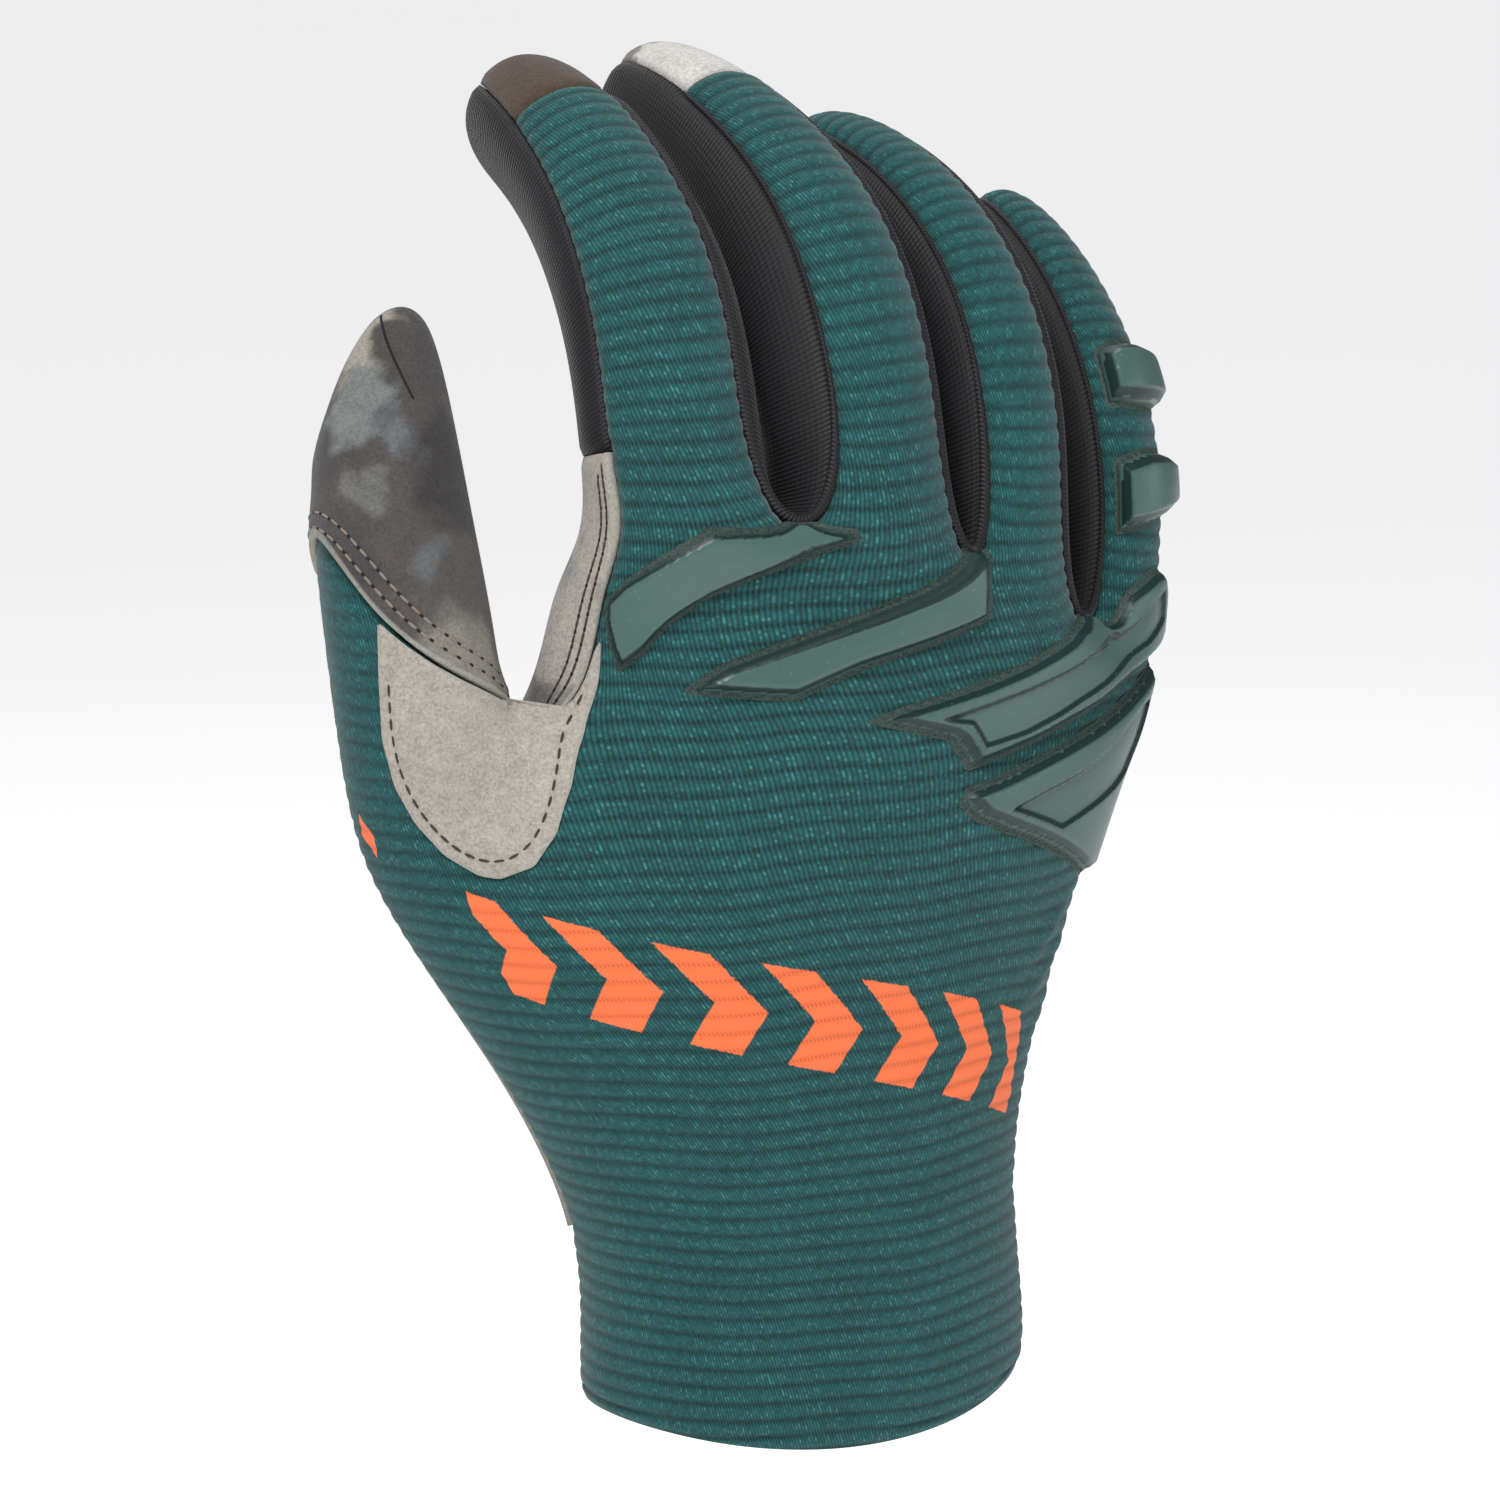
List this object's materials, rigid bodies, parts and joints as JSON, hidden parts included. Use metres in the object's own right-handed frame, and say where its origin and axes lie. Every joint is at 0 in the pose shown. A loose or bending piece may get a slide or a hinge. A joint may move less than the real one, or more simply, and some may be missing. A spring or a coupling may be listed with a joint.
{
  "type": "motocross glove",
  "caption": "Right-hand off-road riding glove, filled as if worn: knit back, suede palm and thumb, stretch finger gussets and moulded knuckle guards.",
  "frame": {"origin": "centre of the cuff's opening, where the wrist enters", "axes": "+Z from the cuff towards the fingertips; -Y out of the back of the hand; -X towards the thumb"},
  "size_m": [0.146, 0.0861, 0.2122],
  "materials": {
    "rib_knit": "ribbed knit",
    "palm_suede": "napped suede",
    "patch_suede": "napped suede",
    "gusset_knit": "smooth stretch knit",
    "guard_rubber": "satin"
  },
  "bodies": {
    "root": {"back_panel": "rib_knit", "palm_panel": "palm_suede", "thumb_sleeve": "palm_suede", "gusset_index_radial": "gusset_knit", "gusset_index_middle": "gusset_knit", "gusset_middle_ring": "gusset_knit", "gusset_ring_little": "gusset_knit", "thumb_crotch_patch": "patch_suede", "knuckle_pad_index": "guard_rubber", "knuckle_pad_middle": "guard_rubber", "ulnar_guard_upper": "guard_rubber", "ulnar_guard_lower": "guard_rubber", "little_block_distal": "guard_rubber", "little_block_proximal": "guard_rubber"}
  },
  "joints": []
}
